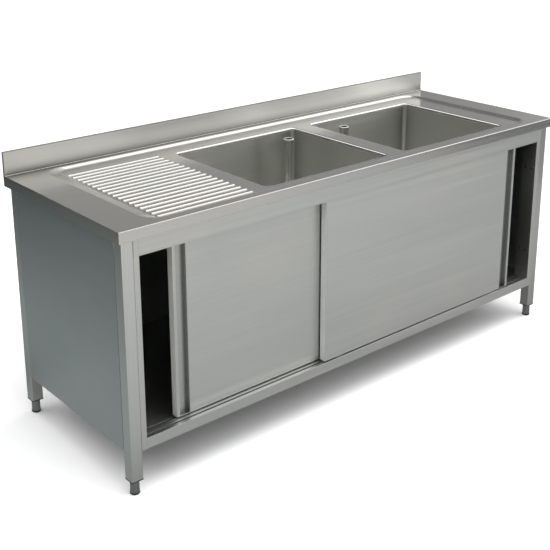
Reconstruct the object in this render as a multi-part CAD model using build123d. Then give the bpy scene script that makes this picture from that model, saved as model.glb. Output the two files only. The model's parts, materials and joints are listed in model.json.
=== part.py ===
from build123d import *
import os

# A free-standing stainless steel sink cupboard: a ribbed drainer and two welded bowls in one
# pressed worktop with a rear upstand, over a cabinet with two sliding doors, on four square
# legs with levelling feet.
# Millimetres. X runs along the length with the drainer at -X, the doors are at -Y, +Z is up.
# The origin is on the floor, under the middle of the worktop.

# Worktop
length = 2000.0
depth = 700.0
worktop_height = 850.0
worktop_sheet = 1.2
edge_height = 35.0
edge_lip = 15.0
edge_radius = 2.0
upstand_height = 80.0
upstand_thickness = 10.0
upstand_return = 25.0
upstand_bend_radius = 2.0

# Pressed recess that drainer and bowls share
recess_depth = 8.0
recess_slope_run = 14.0
recess_left_slope_run = 40.0
recess_bend_radius = 12.0
recess_corner_radius = 60.0
recess_left_margin = 120.0
recess_right_margin = 104.0
recess_front_margin = 34.0
recess_back_margin = 24.0

# Drainer ribs, between the worktop's left end, the left bowl and the recess's edges
rib_count = 18
rib_width = 16.0
rib_height = 5.0
rib_left_margin = 168.0
rib_right_margin = 65.5
rib_front_margin = 21.75
rib_back_margin = 75.75

# Bowls
bowl_length = 550.0
bowl_depth = 295.0
bowl_fall = 5.0
bowl_sheet = 1.0
bowl_corner_radius = 15.0
bowl_rim_radius = 7.0
bowl_collar = 10.0
bowl_spacing = 86.0
bowl_right_margin = 222.5
bowl_front_margin = 41.5
bowl_back_margin = 85.5
pad_side = 300.0
pad_thickness = 3.0

# Waste outlets
waste_side_offset = 100.0
waste_back_offset = 93.0
waste_dish_radius = 45.0
waste_dish_depth = 4.0
waste_hole_radius = 26.0
waste_flange_radius = 40.5
waste_flange_thickness = 2.0
waste_bore_radius = 20.0
waste_thread_radius = 25.5
waste_outlet_radius = 23.9
waste_outlet_length = 40.0
waste_tail_length = 33.0
waste_nut_height = 10.0
waste_nut_across_flats = 66.0
waste_gasket_thickness = 3.0
waste_gasket_radius = 37.0

# Standpipes, which close the wastes and set the water level
standpipe_wall = 1.2
standpipe_drop_from_worktop = 15.0
crown_overhang = 3.0
crown_height = 12.0
crown_roll_radius = 2.5
crown_lip = 4.5
plug_wall = 2.2
plug_height = 12.0
plug_collar_radius = 24.0
plug_collar_height = 5.0

# Legs and feet
leg_size = 40.0
leg_wall = 1.5
leg_corner_radius = 3.0
leg_side_inset = 12.0
leg_front_inset = 12.0
leg_back_inset = 20.0
leg_ground_clearance = 51.0
insert_flange = 3.0
insert_overhang = 0.6
insert_depth = 62.0
insert_roof = 8.0
foot_radius = 14.5
foot_length = 86.0
foot_pad_height = 6.0
foot_pad_radius = 15.5
stud_radius = 5.0
stud_end_height = 32.0
foot_bore_floor = 14.0

# Cabinet sheet work
panel_sheet = 1.0
panel_return = 15.0
shelf_height = 180.0
shelf_front_height = 36.0
shelf_sheet = 1.2
shelf_lip = 15.0
hat_height = 25.0
hat_width = 60.0
hat_flange = 15.0
front_rail_height = 54.0
frame_rail_height = 30.0
frame_rail_width = 26.0
frame_sheet = 1.5
jamb_width = 18.0
jamb_sheet = 1.2
jamb_clearance_behind_doors = 6.0

# Sliding doors. Rest is the half-open position, each door this far from its jamb.
door_sheet = 1.0
door_thickness = 24.0
door_spacing = 4.0
door_setback = 4.0
door_end_gap = 2.0
door_overlap = 150.0
door_opened = 130.0
door_bottom_gap = 4.0
door_hidden_height = 11.0
door_stile = 11.5
door_edge_radius = 1.5
grip_width = 37.0
grip_depth = 16.0
cover_fold = 5.0

# Door running gear
groove_width = 8.0
groove_depth = 8.0
guide_width = 6.0
guide_length = 40.0
guide_engagement = 6.0
hanger_inset = 80.0
hanger_sheet = 2.0
hanger_length = 50.0
hanger_front = 7.0
hanger_height = 32.0
wheel_radius = 9.0
wheel_width = 6.0
wheel_chamfer = 1.0
axle_radius = 2.0
track_sheet = 1.2
track_depth = 9.5
track_height = 31.0
buffer_radius = 5.0
buffer_heights = (300.0, 650.0)

# Fits
touch_gap = 0.3
running_gap = 0.05
side_gap = 1.0

# Levels and planes that follow from these
deck_top = worktop_height - recess_depth
deck_underside = deck_top - worktop_sheet
edge_bottom = worktop_height - edge_height
upstand_top = worktop_height + upstand_height
front = -depth / 2
back = depth / 2
upstand_face = back - upstand_thickness
recess_front = front + recess_front_margin
recess_back = upstand_face - recess_back_margin
collar_bottom = deck_top - bowl_collar
bowl_floor = deck_top - bowl_depth
bowl_left_x = length / 2 - bowl_right_margin - 1.5 * bowl_length - bowl_spacing
bowl_right_x = length / 2 - bowl_right_margin - bowl_length / 2
bowl_half_length = bowl_length / 2
bowl_front = recess_front + bowl_front_margin
bowl_back = recess_back - bowl_back_margin
bowl_width = bowl_back - bowl_front
bowl_centre_y = (bowl_front + bowl_back) / 2
waste_y = bowl_back - waste_back_offset
waste_positions = {
    "left": bowl_left_x + bowl_half_length - waste_side_offset,
    "right": bowl_right_x - bowl_half_length + waste_side_offset,
}
dish_top = bowl_floor - bowl_fall
dish_floor = dish_top - waste_dish_depth
flange_top = dish_floor + waste_flange_thickness

rib_left = -length / 2 + rib_left_margin
rib_right = bowl_left_x - bowl_half_length - rib_right_margin
rib_front = recess_front + rib_front_margin
rib_back = recess_back - rib_back_margin
rib_pitch = (rib_back - rib_front - rib_width) / (rib_count - 1)

leg_outer_x = length / 2 - leg_side_inset
leg_inner_x = leg_outer_x - leg_size
leg_front_y = front + leg_front_inset
leg_back_y = back - leg_back_inset
insert_bottom = leg_ground_clearance - insert_flange

opening_half = leg_inner_x - jamb_width
rail_bottom = edge_bottom - front_rail_height
shelf_front_bottom = shelf_height - shelf_front_height

door_width = (2 * (opening_half - door_end_gap) + door_overlap) / 2
door_bottom = shelf_height + door_bottom_gap
door_top = rail_bottom + door_hidden_height
front_door_y = leg_front_y + door_setback
rear_door_y = front_door_y + door_thickness + door_spacing
door_outer_edge = opening_half - door_end_gap - door_opened
jamb_back_y = rear_door_y + door_thickness + jamb_clearance_behind_doors

hanger_back = hanger_front + hanger_sheet
track_front = hanger_back + side_gap
track_back = track_front + track_depth
track_top = edge_bottom - frame_sheet
track_floor = track_top - track_height + track_sheet
axle_height = track_floor + touch_gap + wheel_radius


def block(x_span, y_span, z_span):
    """A box given by its lowest and highest coordinate on each axis."""
    spans = (x_span, y_span, z_span)
    size = [high - low for low, high in spans]
    centre = [(low + high) / 2 for low, high in spans]
    return Pos(*centre) * Box(*size)


def rounded_prism(x, y, width, height, radius, z_low, z_high):
    outline = Pos(x, y, z_low) * RectangleRounded(width, height, radius)
    return extrude(outline, amount=z_high - z_low)


def rod(x, y, radius, z_low, z_high):
    return Pos(x, y, (z_low + z_high) / 2) * Cylinder(radius, z_high - z_low)


def tube(x, y, outer_radius, inner_radius, z_low, z_high):
    wall = rod(x, y, outer_radius, z_low, z_high)
    return wall - rod(x, y, inner_radius, z_low - 1, z_high + 1)


def folded_sheet(points, thickness, x_span):
    """A sheet bent along X. The points are (Y, Z) on one face, with the metal on their left."""
    section_plane = Plane((x_span[0], 0, 0), x_dir=(0, 1, 0), z_dir=(1, 0, 0))
    face_line = Polyline(*points)
    section = make_face(offset(face_line, amount=thickness, side=Side.LEFT, kind=Kind.INTERSECTION))
    return extrude(section_plane * section, amount=x_span[1] - x_span[0])


def mirror_x(shape):
    return mirror(shape, about=Plane.YZ)


# ---------------------------------------------------------------- worktop


def recess_outline(z, left_inset, inset):
    left = -length / 2 + recess_left_margin + left_inset
    right = length / 2 - recess_right_margin - inset
    low = recess_front + inset
    high = recess_back - inset
    outline = RectangleRounded(right - left, high - low, recess_corner_radius - inset)
    return Pos((left + right) / 2, (low + high) / 2, z) * outline


def level_edges(shape, z, x_limit):
    """The edges that lie flat at height z, nearer the middle than x_limit and in front of the upstand."""
    flat = shape.edges().filter_by_position(Axis.Z, z - 0.01, z + 0.01)
    inside = [edge for edge in flat if abs(edge.center().X) < x_limit]
    return [edge for edge in inside if front + worktop_sheet + 1 < edge.center().Y < upstand_face - 1]


def is_outer_fold(edge, half, face_y, top):
    """Whether the worktop's front or an end turns down at this edge, or it is a front corner."""
    middle = edge.center()
    at_end = abs(abs(middle.X) - half) < 0.01
    at_front = abs(middle.Y - face_y) < 0.01
    at_top = abs(middle.Z - top) < 0.01 and middle.Y < upstand_face - 2 * edge_radius
    return at_end and at_front or at_top and (at_end or at_front)


def worktop_form(inset):
    """The outer face of the worktop, or with an inset of one sheet the hollow under it."""
    top = worktop_height - inset
    half = length / 2 - inset
    deck = block((-half, half), (front + inset, back - inset), (edge_bottom, top))
    upstand = block((-half, half), (upstand_face + inset, back - inset), (edge_bottom, upstand_top - inset))
    recess_floor = recess_outline(top - recess_depth, recess_left_slope_run, recess_slope_run)
    recess = loft([recess_outline(top, 0, 0), recess_floor], ruled=True)
    form = deck + upstand - recess
    bends = level_edges(form, top, half - 1) + level_edges(form, top - recess_depth, half - 1)
    form = fillet(bends, recess_bend_radius)
    foot = form.edges().filter_by(Axis.X).filter_by_position(Axis.Z, top - 0.01, top + 0.01)
    form = fillet(foot.sort_by(Axis.Y)[-1:], upstand_bend_radius + inset)
    folds = [edge for edge in form.edges() if is_outer_fold(edge, half, front + inset, top)]
    return fillet(folds, edge_radius - inset)


def rib_bodies(radius_change, rounded_ends):
    """Round bars along X whose tops make the drainer's ribs."""
    radius = (rib_width**2 / 4 + rib_height**2) / (2 * rib_height)
    axis_z = deck_top + rib_height - radius
    left = rib_left + rib_width / 2
    right = rib_right - rib_width / 2
    ribs = []
    for index in range(rib_count):
        y = rib_front + rib_width / 2 + index * rib_pitch
        rib = Pos((left + right) / 2, y, axis_z) * Rot(0, 90, 0) * Cylinder(radius + radius_change, right - left)
        if rounded_ends:
            rib = rib + [Pos(x, y, axis_z) * Sphere(radius + radius_change) for x in (left, right)]
        ribs.append(rib)
    return ribs


def bowl_cutout(x, growth, z_low, z_high):
    return rounded_prism(
        x,
        bowl_centre_y,
        bowl_length + 2 * growth,
        bowl_width + 2 * growth,
        bowl_corner_radius + growth,
        z_low,
        z_high,
    )


def make_worktop():
    sheet = worktop_form(0) - worktop_form(worktop_sheet)
    inner_half = length / 2 - worktop_sheet
    rear_opening = block((-inner_half, inner_half), (back - 2 * worktop_sheet, back + 1),
                         (edge_bottom - 1, upstand_top - upstand_return))
    sheet = sheet - rear_opening

    slab = block((-length / 2, length / 2), (front, back), (deck_underside, worktop_height))
    for outer, inner in zip(rib_bodies(0, True), rib_bodies(-worktop_sheet, False)):
        sheet = sheet + (outer & slab) - inner

    for x in (bowl_left_x, bowl_right_x):
        sheet = sheet + bowl_cutout(x, worktop_sheet, collar_bottom, deck_top)
        sheet = sheet - bowl_cutout(x, 0, collar_bottom - 1, deck_top + 1)
        bend = [edge for edge in level_edges(sheet, deck_underside, length)
                if abs(edge.center().X - x) <= bowl_half_length + 2 * worktop_sheet]
        sheet = fillet(bend, bowl_rim_radius - worktop_sheet)
        rim = [edge for edge in level_edges(sheet, deck_top, length)
               if abs(edge.center().X - x) <= bowl_half_length + 1]
        sheet = fillet(rim, bowl_rim_radius)

    lip_z = (edge_bottom, edge_bottom + worktop_sheet)
    sheet = sheet + block((-length / 2, length / 2), (front, front + edge_lip), lip_z)
    for side in (-1, 1):
        ends = sorted((side * length / 2, side * (length / 2 - edge_lip)))
        sheet = sheet + block(ends, (front, back), lip_z)
    return sheet


def hat_section(x_span, centre_y, height, top_z):
    """A hat-shaped stiffener along X, its flanges up against the sheet above."""
    half = hat_width / 2
    points = [
        (centre_y - half, top_z),
        (centre_y - half + hat_flange, top_z),
        (centre_y - half + hat_flange, top_z - height),
        (centre_y + half - hat_flange, top_z - height),
        (centre_y + half - hat_flange, top_z),
        (centre_y + half, top_z),
    ]
    return folded_sheet([(y, z - frame_sheet) for y, z in points], frame_sheet, x_span)


def make_deck_stiffeners():
    left = -length / 2 + recess_left_margin + recess_left_slope_run + recess_bend_radius
    right = bowl_left_x - bowl_half_length - hat_flange
    rows = (bowl_centre_y - bowl_width / 4, bowl_centre_y + bowl_width / 4)
    return [hat_section((left, right), y, hat_height - 5, deck_underside) for y in rows]


def make_rear_edge_stiffener():
    half = length / 2 - edge_lip - touch_gap
    top = worktop_height - worktop_sheet - touch_gap
    rear = back - worktop_sheet - touch_gap
    points = [
        (upstand_face - panel_return, top),
        (rear, top),
        (rear, edge_bottom),
        (upstand_face - panel_return, edge_bottom),
    ]
    return folded_sheet(points[::-1], worktop_sheet, (-half, half))


# ---------------------------------------------------------------- bowls, wastes, standpipes


def floor_fall(x, waste_x, drop):
    """The shallow funnel in a bowl's floor, four facets that fall to the waste, lowered by drop."""
    bend = 2 * (bowl_corner_radius - bowl_sheet)
    top = Pos(x, bowl_centre_y, bowl_floor - drop) * Rectangle(bowl_length - bend, bowl_width - bend)
    low = Pos(waste_x, waste_y, dish_top - drop) * Rectangle(2 * waste_dish_radius, 2 * waste_dish_radius)
    return loft([top, low], ruled=True)


def bowl_outside(x, waste_x):
    body = bowl_cutout(x, bowl_sheet, bowl_floor - bowl_sheet, collar_bottom)
    body = fillet(body.faces().sort_by(Axis.Z)[0].edges(), bowl_corner_radius)
    dish = rod(waste_x, waste_y, waste_dish_radius, dish_floor - bowl_sheet, dish_top)
    return body + floor_fall(x, waste_x, bowl_sheet) + dish


def make_bowl(x, waste_x):
    hollow = bowl_cutout(x, 0, bowl_floor, collar_bottom + 1)
    hollow = fillet(hollow.faces().sort_by(Axis.Z)[0].edges(), bowl_corner_radius - bowl_sheet)
    dish = Pos(waste_x, waste_y, (dish_floor + dish_top) / 2) * Cone(
        waste_dish_radius - waste_dish_depth, waste_dish_radius - bowl_sheet, waste_dish_depth)
    hole = rod(waste_x, waste_y, waste_hole_radius, dish_floor - 2 * bowl_sheet, dish_top)
    return bowl_outside(x, waste_x) - hollow - floor_fall(x, waste_x, 0) - dish - hole


def make_sound_pads():
    """A rubber coat under each bowl's floor, beside the waste."""
    pads = []
    for side, x in (("left", bowl_left_x), ("right", bowl_right_x)):
        away = -1 if side == "left" else 1
        centre_x = x + away * (bowl_half_length - bowl_corner_radius - pad_side / 2 - touch_gap)
        underside = bowl_outside(x, waste_positions[side])
        footprint = rounded_prism(centre_x, bowl_centre_y, pad_side, pad_side, pad_side / 30,
                                  dish_floor - pad_thickness, bowl_floor - bowl_sheet)
        pads.append((Pos(0, 0, -pad_thickness) * underside & footprint) - underside)
    return pads


def make_waste_flange(x):
    ring = tube(x, waste_y, waste_flange_radius, waste_bore_radius, dish_floor, flange_top)
    ring = chamfer(ring.edges().sort_by(Axis.Z)[-1:] + ring.edges().sort_by(Axis.Z)[-2:-1], 0.6)
    skirt_bottom = dish_floor - waste_tail_length + waste_flange_thickness
    return ring + tube(x, waste_y, waste_bore_radius + 1, waste_bore_radius, skirt_bottom, dish_floor)


def make_waste_tail(x):
    bore = waste_bore_radius + 1 + running_gap
    thread_bottom = dish_floor - waste_tail_length
    threaded = tube(x, waste_y, waste_thread_radius, bore, thread_bottom, dish_floor)
    return threaded + tube(x, waste_y, waste_outlet_radius, bore, thread_bottom - waste_outlet_length, thread_bottom)


def make_waste_gasket(x):
    top = dish_floor - bowl_sheet
    return tube(x, waste_y, waste_gasket_radius, waste_hole_radius, top - waste_gasket_thickness, top)


def make_waste_nut(x):
    top = dish_floor - bowl_sheet - waste_gasket_thickness
    outline = RegularPolygon(waste_nut_across_flats / 2, 6, major_radius=False)
    nut = extrude(Pos(x, waste_y, top - waste_nut_height) * outline, amount=waste_nut_height)
    return nut - rod(x, waste_y, waste_thread_radius + running_gap, top - 2 * waste_nut_height, top + 1)


standpipe_top = worktop_height - standpipe_drop_from_worktop
standpipe_radius = waste_bore_radius - touch_gap - plug_wall
tube_top = standpipe_top - crown_lip
plug_seat = flange_top + touch_gap
plug_bottom = plug_seat - plug_height


def make_standpipe_tube(x):
    return tube(x, waste_y, standpipe_radius, standpipe_radius - standpipe_wall,
                plug_bottom, tube_top)


def make_standpipe_crown(x):
    """A turned ring with a rolled lip, pressed over the top of the tube."""
    mouth_radius = standpipe_radius - crown_lip
    ring = tube(x, waste_y, standpipe_radius + crown_overhang, mouth_radius,
                standpipe_top - crown_height, standpipe_top)
    lip = ring.faces().sort_by(Axis.Z)[-1].edges()
    ring = fillet(lip, crown_roll_radius)
    return ring - rod(x, waste_y, standpipe_radius + running_gap, standpipe_top - 2 * crown_height, tube_top)


def make_standpipe_plug(x):
    body = rod(x, waste_y, waste_bore_radius - touch_gap, plug_bottom, plug_seat)
    collar = rod(x, waste_y, plug_collar_radius, plug_seat, plug_seat + plug_collar_height)
    collar = chamfer(collar.edges().sort_by(Axis.Z)[-1:], plug_collar_height / 2)
    bore = rod(x, waste_y, standpipe_radius + running_gap, plug_bottom - 1, plug_seat + 2 * plug_collar_height)
    return body + collar - bore


# ---------------------------------------------------------------- legs and feet

leg_places = {
    "front_left": (-leg_outer_x + leg_size / 2, leg_front_y + leg_size / 2),
    "front_right": (leg_outer_x - leg_size / 2, leg_front_y + leg_size / 2),
    "back_left": (-leg_outer_x + leg_size / 2, leg_back_y - leg_size / 2),
    "back_right": (leg_outer_x - leg_size / 2, leg_back_y - leg_size / 2),
}
leg_bore = leg_size - 2 * leg_wall


def make_leg(x, y):
    span = (leg_ground_clearance, edge_bottom)
    outside = rounded_prism(x, y, leg_size, leg_size, leg_corner_radius, *span)
    return outside - rounded_prism(x, y, leg_bore, leg_bore, leg_corner_radius - leg_wall, span[0] - 1, span[1] + 1)


def make_leg_insert(x, y):
    wide = leg_size + 2 * insert_overhang
    narrow = leg_bore - 2 * running_gap
    top = leg_ground_clearance + insert_depth
    flange = rounded_prism(x, y, wide, wide, leg_corner_radius, insert_bottom, leg_ground_clearance)
    body = rounded_prism(x, y, narrow, narrow, leg_corner_radius - leg_wall, leg_ground_clearance, top)
    bore = rod(x, y, foot_radius + running_gap, insert_bottom - 1, top - insert_roof)
    return flange + body - bore - rod(x, y, stud_radius + running_gap, top - 2 * insert_roof, top + 1)


def make_levelling_stud(x, y):
    return rod(x, y, stud_radius, stud_end_height, leg_ground_clearance + insert_depth)


def make_foot(x, y):
    sleeve = rod(x, y, foot_radius, foot_pad_height, foot_length)
    return sleeve - rod(x, y, stud_radius + running_gap, foot_bore_floor, foot_length + 1)


def make_foot_pad(x, y):
    pad = rod(x, y, foot_pad_radius, 0, foot_pad_height)
    bottom = pad.edges().sort_by(Axis.Z)[:1]
    return chamfer(bottom, foot_pad_height / 3)


# ---------------------------------------------------------------- cabinet


def make_side_panel():
    """The left panel, flush with the legs, with a return at its top and bottom."""
    outer = -leg_outer_x
    y_span = (leg_front_y + leg_size + touch_gap, leg_back_y - leg_size - touch_gap)
    skin = block((outer, outer + panel_sheet), y_span, (shelf_front_bottom, edge_bottom))
    top = block((outer, outer + panel_return), y_span, (edge_bottom - panel_sheet, edge_bottom))
    bottom = block((outer, outer + panel_return), y_span, (shelf_front_bottom, shelf_front_bottom + panel_sheet))
    return skin + top + bottom


def make_side_rail():
    """The left top rail between the legs, a channel open to the inside."""
    outer = -leg_outer_x + panel_sheet + touch_gap
    y_span = (leg_front_y + leg_size + touch_gap, leg_back_y - leg_size - touch_gap)
    z_span = (edge_bottom - panel_sheet - frame_rail_height, edge_bottom - panel_sheet)
    body = block((outer, outer + frame_rail_width), y_span, z_span)
    hollow = block((outer + frame_sheet, outer + frame_rail_width + 1), (y_span[0] - 1, y_span[1] + 1),
                   (z_span[0] + frame_sheet, z_span[1] - frame_sheet))
    return body - hollow


def make_back_panel():
    half = leg_inner_x - touch_gap
    points = [
        (leg_back_y - panel_return, shelf_front_bottom),
        (leg_back_y, shelf_front_bottom),
        (leg_back_y, edge_bottom),
        (leg_back_y - panel_return, edge_bottom),
    ]
    return folded_sheet(points, panel_sheet, (-half, half))


def make_rear_rail():
    half = leg_inner_x - touch_gap
    rear = leg_back_y - panel_sheet - touch_gap
    top = edge_bottom - panel_sheet
    points = [
        (rear - frame_rail_width, top - frame_rail_height),
        (rear, top - frame_rail_height),
        (rear, top),
        (rear - frame_rail_width, top),
    ]
    return folded_sheet(points, frame_sheet, (-half, half))


def groove_points(door_y):
    centre = door_y + door_thickness / 2
    low, high = centre - groove_width / 2, centre + groove_width / 2
    floor = shelf_height - groove_depth
    return [(low, shelf_height), (low, floor), (high, floor), (high, shelf_height)]


def make_bottom_shelf():
    """One folded sheet: front lip and face, two guide grooves, and the shelf as far as the back."""
    shelf_back = leg_back_y - panel_sheet - touch_gap
    front_points = [
        (leg_front_y + shelf_lip, shelf_front_bottom),
        (leg_front_y, shelf_front_bottom),
        (leg_front_y, shelf_height),
    ]
    points = front_points + groove_points(front_door_y) + groove_points(rear_door_y) + [(jamb_back_y, shelf_height)]
    front_part = folded_sheet(points[::-1], shelf_sheet, (-opening_half + touch_gap, opening_half - touch_gap))
    z_span = (shelf_height - shelf_sheet, shelf_height)
    half = leg_inner_x - touch_gap
    main_part = block((-half, half), (jamb_back_y, shelf_back), z_span)
    wing = block((-leg_outer_x + panel_sheet + touch_gap, -opening_half - jamb_sheet - touch_gap),
                 (leg_front_y + leg_size + touch_gap, leg_back_y - leg_size - touch_gap), z_span)
    rear_turn = block((-half, half), (shelf_back - shelf_sheet, shelf_back),
                      (shelf_height - hat_height, shelf_height))
    return front_part + main_part + wing + mirror_x(wing) + rear_turn


def make_shelf_stiffener():
    half = opening_half - touch_gap
    return hat_section((-half, half), 0, hat_height, shelf_height - shelf_sheet)


def make_jamb():
    """The left jamb: a strip beside the leg that turns back along the ends of the doors."""
    z_span = (shelf_front_bottom, edge_bottom)
    strip = block((-leg_inner_x, -opening_half), (leg_front_y, leg_front_y + jamb_sheet), z_span)
    turn = block((-opening_half - jamb_sheet, -opening_half), (leg_front_y, jamb_back_y - touch_gap), z_span)
    return strip + turn


def make_top_front_rail():
    half = opening_half - touch_gap
    rear = jamb_back_y - touch_gap
    points = [
        (leg_front_y, rail_bottom),
        (leg_front_y, edge_bottom),
        (rear, edge_bottom),
        (rear, edge_bottom - frame_rail_height),
    ]
    return folded_sheet(points[::-1], frame_sheet, (-half, half))


def make_door_track(door_y):
    """A channel open to the front, whose lower flange carries the door's wheels."""
    half = opening_half - touch_gap
    low = track_floor - track_sheet
    points = [
        (door_y + track_front, low),
        (door_y + track_back, low),
        (door_y + track_back, track_top),
        (door_y + track_front, track_top),
    ]
    return folded_sheet(points, track_sheet, (-half, half))


def make_door_buffers():
    thickness = door_end_gap - touch_gap
    buffers = []
    for side in (-1, 1):
        for door_y in (front_door_y, rear_door_y):
            for z in buffer_heights:
                x = side * (opening_half - thickness / 2)
                place = Pos(x, door_y + door_thickness / 2, z) * Rot(0, 90, 0)
                buffers.append(place * Cylinder(buffer_radius, thickness))
    return buffers


# ---------------------------------------------------------------- doors
# A door is drawn with its grip at its left end, as the left door is, and the right one is mirrored.


def door_outline(left, door_y, inset, back_y):
    """The door seen from above, stepped in at the grip, and shrunk by inset on all but the back."""
    right = left + door_width - inset
    face = door_y + inset
    grip_left = left + door_stile - inset
    grip_right = left + door_stile + grip_width + inset
    grip_floor = door_y + grip_depth + inset
    points = [
        (left + inset, back_y),
        (left + inset, face),
        (grip_left, face),
        (grip_left, grip_floor),
        (grip_right, grip_floor),
        (grip_right, face),
        (right, face),
        (right, back_y),
    ]
    return make_face(Polyline(*points, close=True))


def make_door_front(left, door_y):
    rear = door_y + door_thickness
    outside = extrude(Pos(0, 0, door_bottom) * door_outline(left, door_y, 0, rear), amount=door_top - door_bottom)
    front_edges = outside.edges().filter_by(Axis.Z).filter_by_position(Axis.Y, door_y - 0.01, door_y + 0.01)
    outside = fillet(front_edges, door_edge_radius)
    hollow = extrude(Pos(0, 0, door_bottom + door_sheet) * door_outline(left, door_y, door_sheet, rear + 1),
                     amount=door_top - door_bottom - 2 * door_sheet)
    sill_x = (left + door_stile, left + door_stile + grip_width)
    sill_y = (door_y, door_y + grip_depth)
    sill = block(sill_x, sill_y, (door_bottom, door_bottom + door_sheet))
    lintel = block(sill_x, sill_y, (door_top - door_sheet, door_top))
    return outside - hollow + sill + lintel


def make_door_back(left, door_y):
    """The tray that closes the back of the door, its edges folded forwards inside the front."""
    gap = door_sheet + touch_gap
    x_span = (left + gap, left + door_width - gap)
    z_span = (door_bottom + gap, door_top - gap)
    rear = door_y + door_thickness
    tray = block(x_span, (rear - cover_fold, rear), z_span)
    hollow = block((x_span[0] + door_sheet, x_span[1] - door_sheet), (rear - cover_fold - 1, rear - door_sheet),
                   (z_span[0] + door_sheet, z_span[1] - door_sheet))
    return tray - hollow


def wheel_places(left):
    return (left + hanger_inset, left + door_width - hanger_inset)


def make_hanger(x, door_y):
    """A bracket on the top of the door with a riveted axle for its wheel."""
    plate_y = (door_y + hanger_front, door_y + hanger_back)
    x_span = (x - hanger_length / 2, x + hanger_length / 2)
    foot = block(x_span, (door_y + door_edge_radius, plate_y[1]), (door_top, door_top + hanger_sheet))
    plate = block(x_span, plate_y, (door_top, door_top + hanger_height))
    top_corners = plate.edges().filter_by(Axis.Y).filter_by_position(
        Axis.Z, door_top + hanger_height - 0.01, door_top + hanger_height + 0.01)
    plate = chamfer(top_corners, hanger_height / 3)
    axle_end = door_y + track_back - track_sheet - side_gap
    axle = Pos(x, (plate_y[0] + axle_end) / 2, axle_height) * Rot(90, 0, 0) * Cylinder(
        axle_radius, axle_end - plate_y[0])
    return foot + plate + axle


def wheel_centre_y(door_y):
    return door_y + (track_front + track_back - track_sheet) / 2


def make_wheel(x, door_y):
    wheel = Cylinder(wheel_radius, wheel_width)
    wheel = chamfer(wheel.edges().filter_by(GeomType.CIRCLE), wheel_chamfer)
    wheel = wheel - Cylinder(axle_radius + running_gap, wheel_width + 2)
    return Pos(x, wheel_centre_y(door_y), axle_height) * Rot(90, 0, 0) * wheel


def make_guide(x, door_y):
    centre = door_y + door_thickness / 2
    z_span = (shelf_height - guide_engagement, door_bottom)
    guide = block((x - guide_length / 2, x + guide_length / 2),
                  (centre - guide_width / 2, centre + guide_width / 2), z_span)
    return fillet(guide.edges().filter_by(Axis.Z), guide_width / 4)


# ---------------------------------------------------------------- assembly


def collect_parts():
    parts = {
        "worktop": [make_worktop()],
        "deck_stiffeners": make_deck_stiffeners(),
        "rear_edge_stiffener": [make_rear_edge_stiffener()],
        "sound_pads": make_sound_pads(),
        "waste_gaskets": [make_waste_gasket(x) for x in waste_positions.values()],
        "waste_nuts": [make_waste_nut(x) for x in waste_positions.values()],
        "leg_inserts": [make_leg_insert(*place) for place in leg_places.values()],
        "levelling_studs": [make_levelling_stud(*place) for place in leg_places.values()],
        "back_panel": [make_back_panel()],
        "rear_rail": [make_rear_rail()],
        "bottom_shelf": [make_bottom_shelf()],
        "shelf_stiffener": [make_shelf_stiffener()],
        "top_front_rail": [make_top_front_rail()],
        "front_door_track": [make_door_track(front_door_y)],
        "rear_door_track": [make_door_track(rear_door_y)],
        "door_buffers": make_door_buffers(),
    }
    for side, x in (("left", bowl_left_x), ("right", bowl_right_x)):
        waste_x = waste_positions[side]
        parts[f"bowl_{side}"] = [make_bowl(x, waste_x)]
        parts[f"waste_flange_{side}"] = [make_waste_flange(waste_x)]
        parts[f"waste_tail_{side}"] = [make_waste_tail(waste_x)]
        parts[f"standpipe_tube_{side}"] = [make_standpipe_tube(waste_x)]
        parts[f"standpipe_crown_{side}"] = [make_standpipe_crown(waste_x)]
        parts[f"standpipe_plug_{side}"] = [make_standpipe_plug(waste_x)]

    for corner, place in leg_places.items():
        parts[f"leg_{corner}"] = [make_leg(*place)]
        parts[f"foot_{corner}"] = [make_foot(*place)]
        parts[f"foot_pad_{corner}"] = [make_foot_pad(*place)]

    paired = {"side_panel": make_side_panel(), "side_rail": make_side_rail(), "door_jamb": make_jamb()}
    for name, left_piece in paired.items():
        parts[f"{name}_left"] = [left_piece]
        parts[f"{name}_right"] = [mirror_x(left_piece)]

    left = -door_outer_edge
    for side, door_y in (("left", rear_door_y), ("right", front_door_y)):
        place = (lambda shape: shape) if side == "left" else mirror_x
        parts[f"{side}_door_front"] = [place(make_door_front(left, door_y))]
        parts[f"{side}_door_back"] = [place(make_door_back(left, door_y))]
        parts[f"{side}_door_hangers"] = [place(make_hanger(x, door_y)) for x in wheel_places(left)]
        parts[f"{side}_door_guides"] = [place(make_guide(x, door_y)) for x in wheel_places(left)]
        for end, x in zip(("outer", "inner"), wheel_places(left)):
            parts[f"{side}_door_wheel_{end}"] = [place(make_wheel(x, door_y))]
    return parts


os.makedirs("parts", exist_ok=True)
for node, solids in collect_parts().items():
    shape = solids[0] if len(solids) == 1 else Compound(children=solids)
    export_step(shape, f"parts/{node}.step")
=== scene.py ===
import json
import math
import bpy
from mathutils import Matrix, Vector


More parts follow.
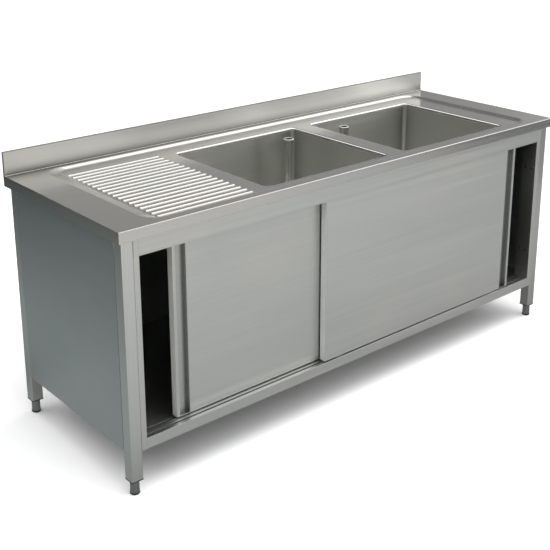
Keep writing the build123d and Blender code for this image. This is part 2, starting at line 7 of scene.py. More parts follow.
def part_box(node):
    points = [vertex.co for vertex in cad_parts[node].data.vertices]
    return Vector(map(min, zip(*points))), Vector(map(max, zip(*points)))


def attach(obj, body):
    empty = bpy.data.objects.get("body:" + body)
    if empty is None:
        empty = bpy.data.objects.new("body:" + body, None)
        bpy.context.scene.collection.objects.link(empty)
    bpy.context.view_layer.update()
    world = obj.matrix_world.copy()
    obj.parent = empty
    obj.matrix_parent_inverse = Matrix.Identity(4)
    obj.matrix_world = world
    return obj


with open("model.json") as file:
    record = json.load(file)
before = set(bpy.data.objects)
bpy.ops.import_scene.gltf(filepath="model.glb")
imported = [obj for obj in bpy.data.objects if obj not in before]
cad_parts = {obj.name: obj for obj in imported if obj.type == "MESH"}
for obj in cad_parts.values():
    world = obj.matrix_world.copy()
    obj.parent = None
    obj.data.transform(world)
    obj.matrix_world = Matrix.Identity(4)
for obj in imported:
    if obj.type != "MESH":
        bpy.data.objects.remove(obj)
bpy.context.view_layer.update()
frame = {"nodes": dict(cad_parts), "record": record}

# Catering sink cupboard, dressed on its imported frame. Metres throughout:
# X along the length with the drainer at -X, doors at -Y, Z up.

collection = bpy.context.scene.collection
print("frame loaded,", len(frame["nodes"]), "pieces")


# camera at the photograph's angle; the lens is shifted down a little to keep the legs upright
photoCamera = {
    "place": (-2.340, -2.595, 1.811),
    "heading": 40.26,     # degrees from +Y towards +X
    "tip": 16.58,         # degrees below the horizon
    "roll": -0.15,
    "lens": 65.8,         # mm
    "sensor": 36,         # mm wide
    "shiftUp": -0.2,      # of the picture's width
    "clip": (0.05, 200),
}


def placeCamera(look):
    data = bpy.data.cameras.new("photoCamera")
    data.sensor_width = look["sensor"]
    data.lens = look["lens"]
    data.shift_y = look["shiftUp"]
    data.clip_start, data.clip_end = look["clip"]
    camera = bpy.data.objects.new("photoCamera", data)
    turn = Matrix.Rotation(math.radians(-look["heading"]), 4, "Z")
    turn = turn @ Matrix.Rotation(math.radians(90 - look["tip"]), 4, "X")
    turn = turn @ Matrix.Rotation(math.radians(look["roll"]), 4, "Z")
    camera.rotation_euler = turn.to_euler()
    camera.location = look["place"]
    collection.objects.link(camera)
    bpy.context.scene.camera = camera


placeCamera(photoCamera)


# short ways to write nodes
def addNode(tree, kind, inputs=None, **settings):
    node = tree.nodes.new(kind)
    for key, value in settings.items():
        setattr(node, key, value)
    for socket, value in (inputs or {}).items():
        if isinstance(value, bpy.types.NodeSocket):
            tree.links.new(value, node.inputs[socket])
        else:
            node.inputs[socket].default_value = value
    return node


def blendTones(tree, share, first, second):
    mix = addNode(tree, "ShaderNodeMix", data_type="RGBA")
    tree.links.new(share, mix.inputs["Factor"])
    for socket, tone in (("A", first), ("B", second)):
        slot = next(x for x in mix.inputs if x.name == socket and x.type == "RGBA")
        if isinstance(tone, bpy.types.NodeSocket):
            tree.links.new(tone, slot)
        else:
            slot.default_value = (*tone, 1)
    return next(x for x in mix.outputs if x.type == "RGBA")


def stretch(tree, value, low, high, newLow, newHigh):
    inputs = {"Value": value, "From Min": low, "From Max": high,
              "To Min": newLow, "To Max": newHigh}
    return addNode(tree, "ShaderNodeMapRange", inputs).outputs["Result"]


def calc(tree, operation, *values):
    node = addNode(tree, "ShaderNodeMath", dict(enumerate(values)), operation=operation)
    return node.outputs["Value"]


def product(tree, first, *others):
    for other in others:
        first = calc(tree, "MULTIPLY", first, other)
    return first


def between(tree, share, first, second):
    inputs = {"Factor": share, "A": first, "B": second}
    return addNode(tree, "ShaderNodeMix", inputs, data_type="FLOAT").outputs[0]


def vectorCalc(tree, operation, result, inputs):
    return addNode(tree, "ShaderNodeVectorMath", inputs, operation=operation).outputs[result]


def splitUp(tree, vector):
    return addNode(tree, "ShaderNodeSeparateXYZ", {"Vector": vector}).outputs


# studio: a pale floor, a dome that is brighter overhead and in front, one soft box, and a grey card
# over the floor that only reflections see; it glows with painted reflection and painted shadow, to
# give the steel its tone as dark felt laid round steel would
studio = {
    "floorSize": 80.0,
    "floorTone": (0.93, 0.93, 0.93, 1),
    "floorRough": 0.9,
    "floorLevel": -0.0004,     # both just under the feet
    "cardLevel": -0.0002,
}
topBox = {"size": (3.4, 1.6), "place": (0.3, -0.9, 3.1), "aim": (0, 0.1, 0.8), "power": 60.0}

# four numbers are a fade: where it starts and ends, and its value at both. In the dome x, y and z
# belong to the direction that the light comes from
dome = {
    "front": 0.54,                             # light at the horizon
    "frontAcross": (0.46, 0.80, 1, 4.5),       # x: far more at the front right
    "frontUp": (0.05, 0.35, 1.6, 1),           # z: more near the horizon
    "back": 0.39,
    "backAcross": (0.58, 0.80, 1, 0.9),        # x
    "backUp": (0.34, 0.46, 1, 0.5),            # z: less between the horizon and the zenith
    "frontToBack": (-0.7, 0.6, 0, 1),          # y
    "left": (-0.5, 0.1, 0.22, 1),              # x: little light from the left
    "up": (0.10, 0.32, 0.8, 1.05),             # z
    "zenith": 2.2,
    "zenithFrom": (0.50, 0.70),                # z
    "zenithBack": (0.18, 0.34, 0, 1),          # y: the zenith's light ends at the back,
    "zenithBackRight": (-0.05, 0.06, 0, 1),    # x: except at the left
}

# the card's glow is painted reflection of the floor, with painted shadow round and under the
# cabinet. In the card x and y are places on the floor, metres from the cabinet's middle
card = {
    "front": (-0.5, -3.0, 0.51, 0.90),         # y: lighter away from the doors
    "frontFoot": (-0.38, -0.72, 0.72, 1),      # y: painted shadow right at the feet
    "frontRight": (-0.8, 2.8, 1, 0.72),        # x
    "frontFarRight": (2.25, 3.0, 1, 0.42),     # x
    "side": (-1.3, -2.5, 0.41, 0.10),          # x: darker away from the left side
    "sideFoot": (-1.08, -1.25, 0.78, 1),       # x: painted shadow at the feet
    "sideBehind": (1.3, 3.0, 1, 0.45),         # y
    "sideTint": (0.90, 1, 0.985),
    "sideFromX": (-0.95, -1.25, 0, 1),         # where front turns into side
    "sideFromY": (-0.9, -0.3, 0, 1),
    "under": 0.16,                             # painted shadow: the cabinet's own shade
    "underLeft": (-1.05, -0.9, 0, 1),          # x
    "underRight": (1.0, 0.9, 0, 1),            # x
    "underFront": (-0.42, -0.24, 0, 1),        # y
    # painted shadow behind the cabinet
    "behind": 0.12,
    "behindFromX": (-1.25, -1.05, 0, 1),
    "behindFromY": (0.4, 0.6, 0, 1),
}


def plainMaterial(name, tone, roughness):
    material = bpy.data.materials.new(name)
    material.use_nodes = True
    shader = material.node_tree.nodes["Principled BSDF"]
    shader.inputs["Base Color"].default_value = tone
    shader.inputs["Roughness"].default_value = roughness
    return material


def stagePlane(name, half, z, material):
    mesh = bpy.data.meshes.new(name)
    corners = [(-half, -half, z), (half, -half, z), (half, half, z), (-half, half, z)]
    mesh.from_pydata(corners, [], [(0, 1, 2, 3)])
    mesh.materials.append(material)
    plane = bpy.data.objects.new(name, mesh)
    collection.objects.link(plane)
    return plane


def softBox(name, look):
    data = bpy.data.lights.new(name, "AREA")
    data.shape = "RECTANGLE"
    data.size, data.size_y = look["size"]
    data.energy = look["power"]
    light = bpy.data.objects.new(name, data)
    light.location = look["place"]
    way = Vector(look["aim"]) - Vector(look["place"])
    light.rotation_euler = way.to_track_quat("-Z", "Y").to_euler()
    light.visible_camera = light.visible_glossy = False
    collection.objects.link(light)


def skyDome(look):
    world = bpy.data.worlds.new("studioDome")
    world.use_nodes = True
    tree = world.node_tree
    way = addNode(tree, "ShaderNodeTexCoord").outputs["Generated"]
    x, y, z = splitUp(tree, way)

    def fade(value, name):
        return stretch(tree, value, *look[name])

    front = product(tree, look["front"], fade(x, "frontAcross"), fade(z, "frontUp"))
    back = product(tree, look["back"], fade(x, "backAcross"), fade(z, "backUp"))
    horizon = between(tree, fade(y, "frontToBack"), front, back)
    horizon = product(tree, horizon, fade(x, "left"), fade(z, "up"))
    low, high = look["zenithFrom"]
    rise = addNode(tree, "ShaderNodeMapRange", {"Value": z, "From Min": low, "From Max": high},
                   interpolation_type="SMOOTHSTEP").outputs["Result"]
    dark = product(tree, fade(y, "zenithBack"), fade(x, "zenithBackRight"))
    rise = product(tree, rise, calc(tree, "SUBTRACT", 1, dark))
    background = tree.nodes["Background"]
    tree.links.new(between(tree, rise, horizon, look["zenith"]), background.inputs["Strength"])
    background.inputs["Color"].default_value = (1, 1, 1, 1)
    bpy.context.scene.world = world


def reflectionCard(look, half, level):
    material = bpy.data.materials.new("reflectionCard")
    material.use_nodes = True
    tree = material.node_tree
    tree.nodes.clear()
    place = addNode(tree, "ShaderNodeTexCoord").outputs["Object"]
    x, y, _ = splitUp(tree, place)

    def fade(value, name):
        return stretch(tree, value, *look[name])

    ahead = product(tree, fade(y, "front"), fade(y, "frontFoot"), fade(x, "frontRight"),
                    fade(x, "frontFarRight"))
    aside = product(tree, fade(x, "side"), fade(x, "sideFoot"), fade(y, "sideBehind"))
    left = product(tree, fade(x, "sideFromX"), fade(y, "sideFromY"))
    under = product(tree, fade(x, "underLeft"), fade(x, "underRight"), fade(y, "underFront"))
    behind = product(tree, fade(y, "behindFromY"), fade(x, "behindFromX"))
    tone = between(tree, left, ahead, aside)
    tone = between(tree, under, tone, look["under"])
    tone = between(tree, behind, tone, look["behind"])
    tint = blendTones(tree, left, (1, 1, 1), look["sideTint"])
    glow = addNode(tree, "ShaderNodeEmission", {"Color": tint, "Strength": tone})
    output = addNode(tree, "ShaderNodeOutputMaterial")
    tree.links.new(glow.outputs["Emission"], output.inputs["Surface"])
    plane = stagePlane("reflectionCard", half, level, material)
    plane.visible_camera = plane.visible_diffuse = False
    plane.visible_shadow = plane.visible_transmission = False


def buildStudio(look):
    half = look["floorSize"] / 2
    floor = plainMaterial("paleFloor", look["floorTone"], look["floorRough"])
    stagePlane("studioFloor", half, look["floorLevel"], floor)
    skyDome(dome)
    reflectionCard(card, half, look["cardLevel"])
    softBox("topBox", topBox)
    bpy.context.scene.view_settings.view_transform = "Standard"


buildStudio(studio)
print("camera and studio ready")


# every surface has softened edges, painted brighter than the faces between them: partly rubbing,
# partly painted highlight
edgeSoftening = {
    "edgeRadius": 0.0008,
    "turned": (0.98, 0.80),       # cosine of the angle that the softening turns a face by
}


def rubbedAndHighlitEdges(tree, wearAndHighlight):
    rounded = addNode(tree, "ShaderNodeBevel", {"Radius": edgeSoftening["edgeRadius"]}, samples=4)
    rounded = rounded.outputs["Normal"]
    flat = addNode(tree, "ShaderNodeNewGeometry").outputs["True Normal"]
    facing = vectorCalc(tree, "DOT_PRODUCT", "Value", {0: rounded, 1: flat})
    return rounded, flat, stretch(tree, facing, *edgeSoftening["turned"], 0, wearAndHighlight)


# brushed stainless: fine grain and soft streaks along the sheet, faint warm and cool clouds
brushing = {
    "grainScale": 850,
    "streakScale": 95,
    "streakDepth": 0.035,
    "cloudScale": 2.6,
    "cloudShape": (0.7, 1, 1.2),
    "pull": 0.55,                 # how far the grain draws highlights out
    "bump": 0.05,
    "bumpHeight": 0.0002,
    "wearAndHighlight": 0.5,
    # the edges' brighter tone, partly rubbed steel and partly painted highlight
    "rubbedHighlightTone": (0.72, 0.71, 0.69),
    "rubbedRough": -0.12,         # roughness that rubbing takes away
    "roughSpread": 0.05,
}
# inner corners and recesses get painted shade: how near a corner counts, the openness where the
# painted shade is full and where it ends, and the tone at full shade
paintedHollowShade = {"reach": 0.02, "closed": 0.35, "open": 0.9, "fullShade": 0.6}
# the doors' end faces are satin: how far a face looks along X, how open it is, as faces inside
# the grips stay bright, and the roughness added
satinEnd = {"turned": (0.90, 0.98), "open": (0.75, 0.95), "rough": 0.4}
# the noise's scale for each way that the grain can run, and the grain's axis, which is tilted a
# little so that no flat face looks straight along it
grainWay = {"X": (0.012, 1, 1), "Y": (1, 0.012, 1), "Z": (1, 1, 0.012)}
grainAxis = {"X": (1, 0.03, 0.02), "Y": (0.03, 1, 0.02), "Z": (0.03, 0.02, 1)}


def brushedSteel(name, look):
    material = bpy.data.materials.new(name)
    material.use_nodes = True
    tree = material.node_tree
    shader = tree.nodes["Principled BSDF"]
    shader.inputs["Metallic"].default_value = 1
    shader.inputs["Anisotropic"].default_value = look.get("pull", brushing["pull"])

    place = addNode(tree, "ShaderNodeTexCoord").outputs["Object"]
    along = {"Vector": place, "Scale": grainWay[look["grain"]]}
    along = addNode(tree, "ShaderNodeMapping", along).outputs["Vector"]
    fine = addNode(tree, "ShaderNodeTexNoise", {"Vector": along, "Scale": brushing["grainScale"],
                                                "Detail": 3, "Roughness": 0.6}).outputs["Fac"]
    streaks = addNode(tree, "ShaderNodeTexNoise", {"Vector": along, "Scale": brushing["streakScale"],
                                                   "Detail": 4, "Roughness": 0.65}).outputs["Fac"]
    broad = {"Vector": place, "Scale": brushing["cloudShape"]}
    broad = addNode(tree, "ShaderNodeMapping", broad).outputs["Vector"]
    clouds = addNode(tree, "ShaderNodeTexNoise", {"Vector": broad, "Scale": brushing["cloudScale"],
                                                  "Detail": 2, "Distortion": 0.4}).outputs["Fac"]

    # noise hardly leaves the range from 0.3 to 0.7, so about that much of it is stretched
    sheet = blendTones(tree, stretch(tree, clouds, 0.35, 0.65, 0, 1), look["cool"], look["warm"])
    depth = brushing["streakDepth"]
    shade = stretch(tree, streaks, 0.3, 0.7, 1 - depth, 1 + depth)
    reach, clear, fullShade = (look.get(key, paintedHollowShade[key]) for key in ("reach", "open", "fullShade"))
    # painted shade: the less open a point is, the darker its colour
    openness = addNode(tree, "ShaderNodeAmbientOcclusion", {"Distance": reach}, samples=6,
                       only_local=True).outputs["AO"]
    shade = product(tree, shade, stretch(tree, openness, paintedHollowShade["closed"], clear, fullShade, 1))
    height = splitUp(tree, place)["Z"]
    # painted shade above a height, on the worktop's top fold
    if "paintedShadeAbove" in look:
        shade = product(tree, shade, stretch(tree, height, *look["paintedShadeAbove"]))
    # painted shade inside the upright pipes' bores
    if "bore" in look:
        shade = product(tree, shade, paintedShadeInBore(tree, place, look["bore"]))
    sheet = vectorCalc(tree, "SCALE", "Vector", {0: sheet, "Scale": shade})

    rounded, flat, rubbedAndHighlit = rubbedAndHighlitEdges(tree, look.get("wearAndHighlight", brushing["wearAndHighlight"]))
    # edges blend towards a brighter tone: partly rubbing, partly painted highlight
    wornAndHighlit = blendTones(tree, rubbedAndHighlit, sheet, brushing["rubbedHighlightTone"])
    tree.links.new(wornAndHighlit, shader.inputs["Base Color"])

    spread = brushing["roughSpread"]
    base = stretch(tree, streaks, 0.25, 0.75, look["rough"] - spread, look["rough"] + spread)
    if "satinAbove" in look:
        base = calc(tree, "ADD", base, stretch(tree, height, *look["satinAbove"]))
    if "satinEnds" in look:
        side = calc(tree, "ABSOLUTE", splitUp(tree, flat)["X"])
        end = product(tree, stretch(tree, side, *satinEnd["turned"], 0, look["satinEnds"]),
                      stretch(tree, openness, *satinEnd["open"], 0, 1))
        base = calc(tree, "MULTIPLY_ADD", end, satinEnd["rough"], base)
        tree.links.new(calc(tree, "SUBTRACT", 1, end), shader.inputs["Metallic"])
    rough = calc(tree, "MULTIPLY_ADD", rubbedAndHighlit, brushing["rubbedRough"], base)
    tree.links.new(rough, shader.inputs["Roughness"])

    bump = addNode(tree, "ShaderNodeBump", {"Strength": brushing["bump"], "Height": fine,
                                            "Distance": brushing["bumpHeight"], "Normal": rounded})
    tree.links.new(bump.outputs["Normal"], shader.inputs["Normal"])
    across = vectorCalc(tree, "CROSS_PRODUCT", "Vector", {0: flat, 1: grainAxis[look["grain"]]})
    tree.links.new(across, shader.inputs["Tangent"])
    return material


def paintedShadeInBore(tree, place, bore):
    # 1 outside, and painted shade inside the two upright pipes
    x, y, _ = splitUp(tree, place)
    aside = calc(tree, "ABSOLUTE", calc(tree, "SUBTRACT", x, bore["middle"]))
    aside = calc(tree, "SUBTRACT", aside, bore["half"])
    back = calc(tree, "SUBTRACT", y, bore["back"])
    radius = calc(tree, "MULTIPLY_ADD", aside, aside, product(tree, back, back))
    radius = calc(tree, "SQRT", radius)
    return stretch(tree, radius, bore["radius"] - bore["fade"], bore["radius"], bore["tone"], 1)


# moulded plastic, nylon and rubber: fine grain and scuffs
moulding = {
    "scuffScale": 45,
    "wearAndHighlight": 0.6,
    "roughSpread": 0.07,
    "bump": 0.3,
    "bumpHeight": 0.0001,
}


def mouldedPlastic(name, look):
    material = bpy.data.materials.new(name)
    material.use_nodes = True
    tree = material.node_tree
    shader = tree.nodes["Principled BSDF"]
    place = addNode(tree, "ShaderNodeTexCoord").outputs["Object"]
    grain = addNode(tree, "ShaderNodeTexNoise", {"Vector": place, "Scale": look["grainScale"],
                                                 "Detail": 3}).outputs["Fac"]
    scuffs = addNode(tree, "ShaderNodeTexNoise", {"Vector": place, "Scale": moulding["scuffScale"],
                                                  "Detail": 4, "Roughness": 0.7}).outputs["Fac"]
    tone = blendTones(tree, stretch(tree, scuffs, 0.4, 0.7, 0, 1), look["tone"], look["scuffed"])
    rounded, _, rubbedAndHighlit = rubbedAndHighlitEdges(tree, moulding["wearAndHighlight"])
    # edges blend towards a brighter tone: partly wear, partly painted highlight
    tree.links.new(blendTones(tree, rubbedAndHighlit, tone, look["wornAndHighlit"]), shader.inputs["Base Color"])
    spread = moulding["roughSpread"]
    rough = stretch(tree, scuffs, 0.3, 0.7, look["rough"] - spread, look["rough"] + spread)
    tree.links.new(rough, shader.inputs["Roughness"])
    bump = addNode(tree, "ShaderNodeBump", {"Strength": moulding["bump"], "Height": grain,
                                            "Distance": moulding["bumpHeight"], "Normal": rounded})
    tree.links.new(bump.outputs["Normal"], shader.inputs["Normal"])
    return material


# one look for each material slot of the part. The steel's tone is its own, and the differences in
# tint are painted light: warmer on the worktop, greener on the doors, darker and bluer on the side
# panels
steelLooks = {
    "worktop_steel": {"cool": (0.60, 0.60, 0.575), "warm": (0.645, 0.63, 0.595), "rough": 0.19,
                      "grain": "X", "pull": 0.4, "reach": 0.035, "fullShade": 0.15, "open": 1.0,
                      "satinAbove": (0.852, 0.862, 0, 0.24),         # z: rougher on the upstand
                      "paintedShadeAbove": (0.9284, 0.9290, 1, 0.4)},        # z: painted shade on its top fold
    "bowl_steel": {"cool": (0.625, 0.635, 0.60), "warm": (0.665, 0.66, 0.625), "rough": 0.35,
                   "grain": "X", "reach": 0.09, "fullShade": 0.5},
    "door_steel": {"cool": (0.57, 0.595, 0.57), "warm": (0.615, 0.615, 0.585), "rough": 0.36,
                   "grain": "X", "reach": 0.04, "fullShade": 0.4, "satinEnds": 0.8},
    "rail_steel": {"cool": (0.58, 0.60, 0.575), "warm": (0.62, 0.62, 0.59), "rough": 0.34,
                   "grain": "X"},
    "shelf_steel": {"cool": (0.57, 0.59, 0.57), "warm": (0.61, 0.61, 0.585), "rough": 0.34,
                    "grain": "X", "wearAndHighlight": 0.7},
    "leg_steel": {"cool": (0.63, 0.66, 0.635), "warm": (0.67, 0.68, 0.655), "rough": 0.34,
                  "grain": "Z"},
    "side_panel_steel": {"cool": (0.54, 0.57, 0.57), "warm": (0.57, 0.59, 0.59), "rough": 0.36,
                         "grain": "Y"},
    "inner_steel": {"cool": (0.50, 0.53, 0.50), "warm": (0.53, 0.55, 0.52), "rough": 0.6,
                    "grain": "X"},
    "track_steel": {"cool": (0.50, 0.50, 0.49), "warm": (0.54, 0.53, 0.51), "rough": 0.38,
                    "grain": "X"},
    # the feet's steel is painted darker, as shade near the floor
    "foot_steel": {"cool": (0.34, 0.36, 0.36), "warm": (0.38, 0.39, 0.38), "rough": 0.34,
                   "grain": "Z"},
    "waste_steel": {"cool": (0.60, 0.60, 0.59), "warm": (0.65, 0.64, 0.62), "rough": 0.22,
                    "grain": "X"},
    "standpipe_steel": {"cool": (0.62, 0.62, 0.60), "warm": (0.67, 0.66, 0.64), "rough": 0.22,
                        "grain": "Z",
                        # the bore's tone is painted shade down the pipes' mouths
                        "bore": {"middle": 0.1845, "half": 0.143, "back": 0.1375,
                                 "radius": 0.0138, "fade": 0.0006, "tone": 0.04}},
    "stud_steel": {"cool": (0.55, 0.55, 0.55), "warm": (0.60, 0.59, 0.57), "rough": 0.35,
                   "grain": "Z"},
}
plasticLooks = {
    "black_plastic": {"tone": (0.018, 0.018, 0.018), "scuffed": (0.03, 0.03, 0.03),
                      "wornAndHighlit": (0.07, 0.07, 0.07), "rough": 0.48, "grainScale": 900},
    "grey_plastic": {"tone": (0.16, 0.165, 0.17), "scuffed": (0.20, 0.20, 0.21),
                     "wornAndHighlit": (0.3, 0.3, 0.3), "rough": 0.45, "grainScale": 900},
    "white_nylon": {"tone": (0.72, 0.71, 0.67), "scuffed": (0.6, 0.59, 0.55),
                    "wornAndHighlit": (0.8, 0.79, 0.76), "rough": 0.4, "grainScale": 700},
    "black_rubber": {"tone": (0.015, 0.015, 0.015), "scuffed": (0.028, 0.027, 0.026),
                     "wornAndHighlit": (0.05, 0.05, 0.05), "rough": 0.7, "grainScale": 1200},
}

finishes = {name: brushedSteel(name, look) for name, look in steelLooks.items()}
finishes.update({name: mouldedPlastic(name, look) for name, look in plasticLooks.items()})
for part in frame["record"]["subparts"]:
    materials = frame["nodes"][part["node"]].data.materials
    materials.clear()
    materials.append(finishes[part["material_slot"]])
print("finishes on the frame")


# Geometry Nodes for what repeats: rows of rivets, screws, weld beads and threads. Each tree takes
# its sizes as named inputs, and dressPiece keeps the result as one plain mesh on one body
def newTree(name, sizes):
    tree = bpy.data.node_groups.new(name, "GeometryNodeTree")
    sockets = tree.interface
    sockets.new_socket("Geometry", in_out="INPUT", socket_type="NodeSocketGeometry")
    for label, kind in sizes.items():
        sockets.new_socket(label, in_out="INPUT", socket_type="NodeSocket" + kind)
    sockets.new_socket("Geometry", in_out="OUTPUT", socket_type="NodeSocketGeometry")
    return tree, addNode(tree, "NodeGroupInput").outputs


def geometry(tree, kind, inputs, result="Geometry", **settings):
    return addNode(tree, "GeometryNode" + kind, inputs, **settings).outputs[result]


def endTree(tree, shape, finish):
    shape = geometry(tree, "RealizeInstances", {"Geometry": shape})
    shape = geometry(tree, "SetMaterial", {"Geometry": shape, "Material": finish})
    tree.links.new(shape, addNode(tree, "NodeGroupOutput").inputs["Geometry"])
    return tree


# heads are straight to the shoulder, a share of their height, and drawn in from there to the top
headForms = {
    "rivet": {"sides": 14, "shoulder": 0.1, "drawIn": 0.55},
    "hexagon": {"sides": 6, "shoulder": 0.7, "drawIn": 0.12},
    "washer": {"sides": 20, "shoulder": 0.8, "drawIn": 0.06},
}
headLift = 0.45      # from its middle, so that a twentieth of the head is sunk in the surface


def headNodes(tree, form, radius, height):
    body = geometry(tree, "MeshCylinder", {"Vertices": form["sides"], "Side Segments": 4,
                                           "Radius": radius, "Depth": height}, "Mesh")
    x, y, z = splitUp(tree, geometry(tree, "InputPosition", {}, "Position"))
    level = calc(tree, "ADD", calc(tree, "DIVIDE", z, height), 0.5)
    over = calc(tree, "POWER", stretch(tree, level, form["shoulder"], 1, 0, 1), 2)
    drawn = calc(tree, "SUBTRACT", 1, product(tree, over, form["drawIn"]))
    lifted = calc(tree, "MULTIPLY_ADD", height, headLift, z)
    spot = addNode(tree, "ShaderNodeCombineXYZ", {"X": product(tree, x, drawn),
                                                  "Y": product(tree, y, drawn), "Z": lifted})
    return geometry(tree, "SetPosition", {"Geometry": body, "Position": spot.outputs["Vector"]})


def standOn(tree, points, head, facing):
    turn = addNode(tree, "FunctionNodeAlignRotationToVector", {"Vector": facing}, axis="Z")
    inputs = {"Points": points, "Instance": head, "Rotation": turn.outputs["Rotation"]}
    return geometry(tree, "InstanceOnPoints", inputs, "Instances")


def runAlong(tree, guide, step):
    line = geometry(tree, "MeshToCurve", {"Mesh": guide}, "Curve")
    return geometry(tree, "ResampleCurve", {"Curve": line, "Length": step}, "Curve", mode="LENGTH")


def rivetRowTree():
    tree, size = newTree("rivetRow", {"Spacing": "Float", "Head Radius": "Float",
                                      "Head Height": "Float", "Facing": "Vector",
                                      "Finish": "Material"})
    row = runAlong(tree, size["Geometry"], size["Spacing"])
    head = headNodes(tree, headForms["rivet"], size["Head Radius"], size["Head Height"])
    return endTree(tree, standOn(tree, row, head, size["Facing"]), size["Finish"])


def hexScrewTree():
    tree, size = newTree("hexScrew", {"Across Flats": "Float", "Head Height": "Float",
                                      "Washer Radius": "Float", "Washer Height": "Float",
                                      "Facing": "Vector", "Finish": "Material"})
    corner = calc(tree, "DIVIDE", size["Across Flats"], math.sqrt(3))
    head = headNodes(tree, headForms["hexagon"], corner, size["Head Height"])
    washer = headNodes(tree, headForms["washer"], size["Washer Radius"], size["Washer Height"])
    raised = addNode(tree, "ShaderNodeCombineXYZ", {"Z": size["Washer Height"]}).outputs["Vector"]
    head = geometry(tree, "Transform", {"Geometry": head, "Translation": raised})
    both = addNode(tree, "GeometryNodeJoinGeometry")
    for shape in (head, washer):
        tree.links.new(shape, both.inputs["Geometry"])
    screws = standOn(tree, size["Geometry"], both.outputs["Geometry"], size["Facing"])
    return endTree(tree, screws, size["Finish"])


def sweep(tree, line, sides, radius, **more):
    circle = {"Resolution": sides, "Radius": radius}
    section = geometry(tree, "CurvePrimitiveCircle", circle, "Curve")
    inputs = {"Curve": line, "Profile Curve": section, "Fill Caps": True, **more}
    return geometry(tree, "CurveToMesh", inputs, "Mesh")


# in each ripple a bead swells and thins once, by a share of its radius about the middle one
beadForm = {"sides": 6, "stepsPerRipple": 4, "middle": 0.9, "swell": 0.16}


def weldBeadTree():
    tree, size = newTree("weldBead", {"Radius": "Float", "Ripple": "Float", "Finish": "Material"})
    step = calc(tree, "DIVIDE", size["Ripple"], beadForm["stepsPerRipple"])
    line = runAlong(tree, size["Geometry"], step)
    along = geometry(tree, "SplineParameter", {}, "Length")
    turns = calc(tree, "DIVIDE", along, size["Ripple"])
    wave = calc(tree, "SINE", product(tree, turns, math.tau))
    swell = calc(tree, "MULTIPLY_ADD", wave, beadForm["swell"], beadForm["middle"])
    bead = sweep(tree, line, beadForm["sides"], size["Radius"], Scale=swell)
    return endTree(tree, bead, size["Finish"])


threadForm = {"sides": 4, "stepsPerTurn": 40}


def threadTree():
    tree, size = newTree("thread", {"Radius": "Float", "Height": "Float", "Pitch": "Float",
                                    "Length": "Float", "Finish": "Material"})
    turns = calc(tree, "DIVIDE", size["Length"], size["Pitch"])
    inputs = {"Resolution": threadForm["stepsPerTurn"], "Rotations": turns,
              "Height": size["Length"], "Start Radius": size["Radius"], "End Radius": size["Radius"]}
    helix = geometry(tree, "CurveSpiral", inputs, "Curve")
    thread = sweep(tree, helix, threadForm["sides"], size["Height"])
    inputs = {"Points": size["Geometry"], "Instance": thread}
    return endTree(tree, geometry(tree, "InstanceOnPoints", inputs, "Instances"), size["Finish"])


trees = {"rivetRow": rivetRowTree(), "hexScrew": hexScrewTree(), "weldBead": weldBeadTree(),
         "thread": threadTree()}


def guideMesh(name, lines):
    # each line is a run of points; one point alone is a place for a single head
    points, edges = [], []
    for line in lines:
        first = len(points)
        points += line
        edges += [(first + step, first + step + 1) for step in range(len(line) - 1)]
    mesh = bpy.data.meshes.new(name)
    mesh.from_pydata(points, edges, [])
    return mesh


def dressPiece(name, look, lines):
    guide = bpy.data.objects.new(name + "Guide", guideMesh(name + "Guide", lines))
    collection.objects.link(guide)
    tree = trees[look["tree"]]
    modifier = guide.modifiers.new(look["tree"], "NODES")
    modifier.node_group = tree
    values = dict(look["sizes"], Finish=finishes[look["slot"]])
    for socket in tree.interface.items_tree:
        if socket.in_out == "INPUT" and socket.name in values:
            modifier[socket.identifier] = values[socket.name]
    depsgraph = bpy.context.evaluated_depsgraph_get()
    mesh = bpy.data.meshes.new_from_object(guide.evaluated_get(depsgraph), depsgraph=depsgraph)
    guide.modifiers.remove(modifier)
    bpy.data.objects.remove(guide)
    mesh.name = name
    piece = bpy.data.objects.new(name, mesh)
    collection.objects.link(piece)
    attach(piece, look["body"])


def loopLine(low, high, radius, z, steps=5):
    # a closed run round a rectangle with rounded corners
    left, right = low[0] + radius, high[0] - radius
    near, far = low[1] + radius, high[1] - radius
    line = []
    for corner, (x, y) in enumerate(((right, far), (left, far), (left, near), (right, near))):
        for step in range(steps + 1):
            angle = math.radians(90 * (corner + step / steps))
            line.append((x + radius * math.cos(angle), y + radius * math.sin(angle), z))
    return line + line[:1]


# rivets that hold the back panel to the rear rail and the turned-down edge of the shelf
backRivets = {"body": "cabinet", "slot": "stud_steel", "tree": "rivetRow",
              "levels": (0.802, 0.168), "halfRun": 0.92,
              "sizes": {"Spacing": 0.115, "Head Radius": 0.0036, "Head Height": 0.0013,
                        "Facing": (0, 1, 0)}}
low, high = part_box("back_panel")
half = backRivets["halfRun"]
rows = [[(-half, high[1], z), (half, high[1], z)] for z in backRivets["levels"]]
dressPiece("back_panel_rivets", backRivets, rows)

# spot welds under both flanges of the hats that stiffen the drainer and the shelf
hatWelds = {"body": "cabinet", "slot": "inner_steel", "tree": "rivetRow",
            "hatWidth": 0.06, "inset": 0.0075, "sheet": 0.0015, "endGap": 0.02,
            "sizes": {"Spacing": 0.06, "Head Radius": 0.003, "Head Height": 0.0005,
                      "Facing": (0, 0, -1)}}


def hatRows(low, high, hats):
    rows = []
    for front, back in hats:
        for y in (front + hatWelds["inset"], back - hatWelds["inset"]):
            z = high[2] - hatWelds["sheet"]
            rows.append([(low[0] + hatWelds["endGap"], y, z), (high[0] - hatWelds["endGap"], y, z)])
    return rows


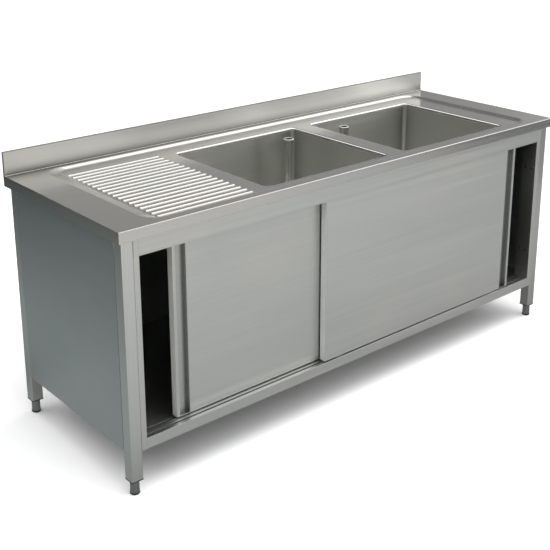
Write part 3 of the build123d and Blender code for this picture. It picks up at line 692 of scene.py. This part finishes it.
low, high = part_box("deck_stiffeners")
rows = hatRows(low, high, ((low[1], low[1] + hatWelds["hatWidth"]),
                           (high[1] - hatWelds["hatWidth"], high[1])))
low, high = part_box("shelf_stiffener")
rows += hatRows(low, high, ((low[1], high[1]),))
dressPiece("stiffener_spot_welds", hatWelds, rows)

# welds that join each bowl to its collar
bowlWelds = {"body": "cabinet", "slot": "track_steel", "tree": "weldBead",
             "outside": 0.0004, "cornerRadius": 0.0164,
             "sizes": {"Radius": 0.0012, "Ripple": 0.0034}}
beads = []
for side in ("left", "right"):
    low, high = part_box("bowl_" + side)
    out = bowlWelds["outside"]
    beads.append(loopLine((low[0] - out, low[1] - out), (high[0] + out, high[1] + out),
                          bowlWelds["cornerRadius"], high[2]))
dressPiece("bowl_weld_beads", bowlWelds, beads)

# and the frame's welds in its hidden corners, the same at both ends
frameWelds = {"body": "cabinet", "slot": "track_steel", "tree": "weldBead",
              "legX": 0.9476,
              "rearRail": ((0.3005, 0.787), (0.3005, 0.812)),        # y and z of a bead's ends
              "shelf": ((0.2925, 0.1803), (0.3270, 0.1803)),
              "jamb": ((-0.3364, 0.20), (-0.3364, 0.76)),
              "sideRailX": 0.9865,
              "sideRailFront": ((-0.2970, 0.786), (-0.2970, 0.812)),
              "sideRailBack": ((0.2895, 0.786), (0.2895, 0.812)),
              "sizes": {"Radius": 0.0014, "Ripple": 0.004}}
beads = []
for side in (-1, 1):
    for seam, at in (("rearRail", "legX"), ("shelf", "legX"), ("jamb", "legX"),
                     ("sideRailFront", "sideRailX"), ("sideRailBack", "sideRailX")):
        beads.append([(side * frameWelds[at], y, z) for y, z in frameWelds[seam]])
dressPiece("frame_weld_beads", frameWelds, beads)

# each door: the row of rivets round its back tray, the axles' riveted heads and hanger screws
trayRivets = {"slot": "stud_steel", "tree": "rivetRow", "inset": 0.011,
              "sizes": {"Spacing": 0.122, "Head Radius": 0.0030, "Head Height": 0.0011,
                        "Facing": (0, 1, 0)}}
axleRivets = {"slot": "stud_steel", "tree": "rivetRow",
              "inset": 0.08, "level": 0.793, "plateFront": 0.007,
              "halfRun": 0.0001,       # far shorter than the spacing, so each run has one head
              "sizes": {"Spacing": 1.0, "Head Radius": 0.0036, "Head Height": 0.0014,
                        "Facing": (0, -1, 0)}}
hangerScrews = {"slot": "stud_steel", "tree": "hexScrew",
                "apart": 0.017, "ahead": 0.0027, "flange": 0.002,
                "sizes": {"Across Flats": 0.0035, "Head Height": 0.0014, "Washer Radius": 0.0024,
                          "Washer Height": 0.0004, "Facing": (0, 0, 1)}}
for side in ("left", "right"):
    body = side + "_door"
    low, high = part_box(body + "_back")
    gap = trayRivets["inset"]
    near, far = low[0] + gap, high[0] - gap
    foot, head = low[2] + gap, high[2] - gap
    rim = [(x, high[1], z) for x, z in ((near, foot), (far, foot), (far, head), (near, head))]
    dressPiece(body + "_back_rivets", dict(trayRivets, body=body),
               [[rim[at], rim[(at + 1) % 4]] for at in range(4)])

    low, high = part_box(body + "_front")
    plate = low[1] + axleRivets["plateFront"]
    axles = [low[0] + axleRivets["inset"], high[0] - axleRivets["inset"]]
    half, level = axleRivets["halfRun"], axleRivets["level"]
    dressPiece(body + "_axle_heads", dict(axleRivets, body=body),
               [[(x - half, plate, level), (x + half, plate, level)] for x in axles])
    y, z = plate - hangerScrews["ahead"], high[2] + hangerScrews["flange"]
    dressPiece(body + "_hanger_screws", dict(hangerScrews, body=body),
               [[(x + step * hangerScrews["apart"], y, z)] for x in axles for step in (-1, 1)])

# the waste tails' thread below the lock nuts
tailThread = {"body": "cabinet", "slot": "grey_plastic", "tree": "thread", "foot": 0.5068,
              "sizes": {"Radius": 0.0254, "Height": 0.0009, "Pitch": 0.00231, "Length": 0.0155}}
tails = []
for side in ("left", "right"):
    low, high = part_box("waste_tail_" + side)
    tails.append([((low[0] + high[0]) / 2, (low[1] + high[1]) / 2, tailThread["foot"])])
dressPiece("waste_tail_threads", tailThread, tails)
print("rivets, screws, welds and threads on")
